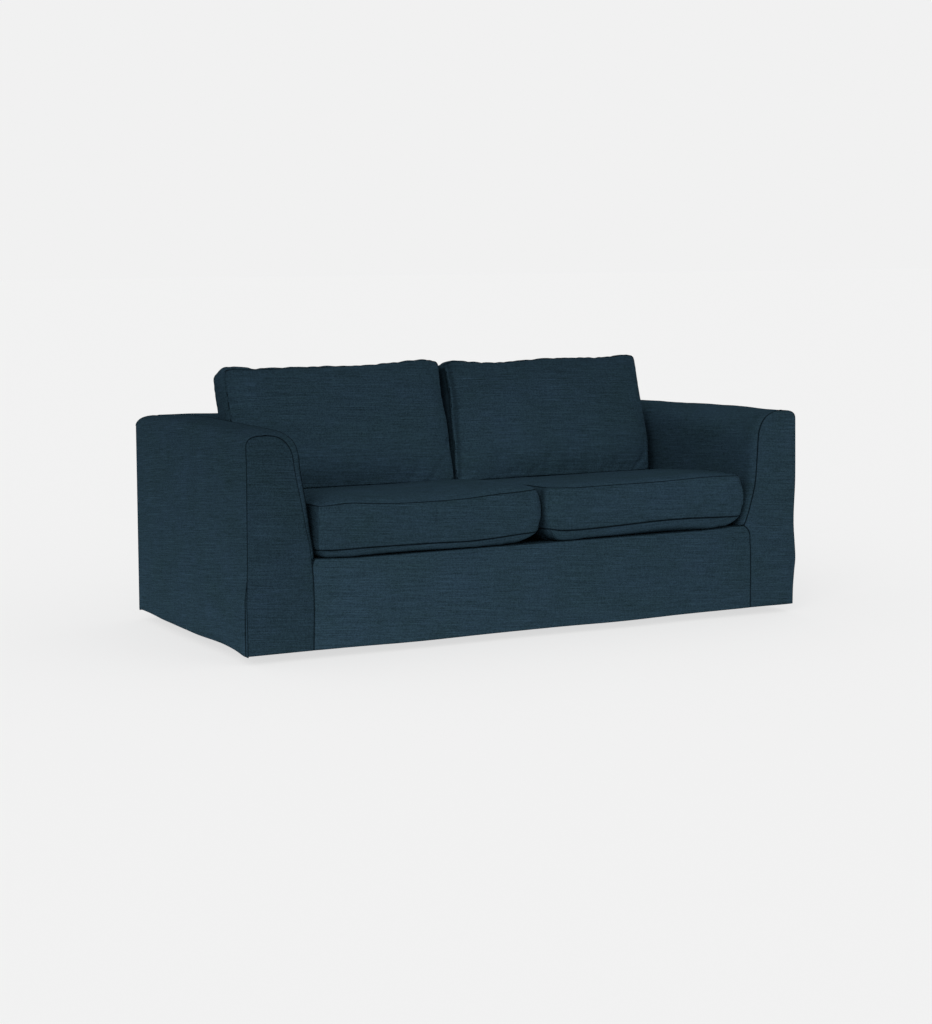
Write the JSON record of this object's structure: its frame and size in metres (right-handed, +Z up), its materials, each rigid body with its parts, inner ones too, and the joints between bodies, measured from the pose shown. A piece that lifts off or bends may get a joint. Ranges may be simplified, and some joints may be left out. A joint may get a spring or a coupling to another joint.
{
  "type": "sofa slipcover",
  "caption": "Fitted sofa slipcover with padded arm tops, plain straight hem, and boxed seat and back cushions, in slubbed blue-grey cloth.",
  "frame": {"origin": "under the crown of the back rail, half way along it, where the sofa left out carries the cover", "axes": "+X along the sofa, to the right as seen from the front, +Y from the front to the back, +Z up"},
  "size_m": [1.8742, 0.882, 0.765],
  "materials": {
    "panel": "matte woven, slubbed",
    "seat_cushion": "matte woven, slubbed",
    "back_cushion": "matte woven, slubbed"
  },
  "bodies": {
    "root": {"arm_wrap_left": "panel", "arm_wrap_right": "panel", "arm_facing_left": "panel", "arm_facing_right": "panel", "front_panel": "panel", "seat_deck": "panel", "inside_back": "panel", "outside_back": "panel", "seat_cushion_left": "seat_cushion", "seat_cushion_right": "seat_cushion", "back_cushion_left": "back_cushion", "back_cushion_right": "back_cushion"}
  },
  "joints": []
}
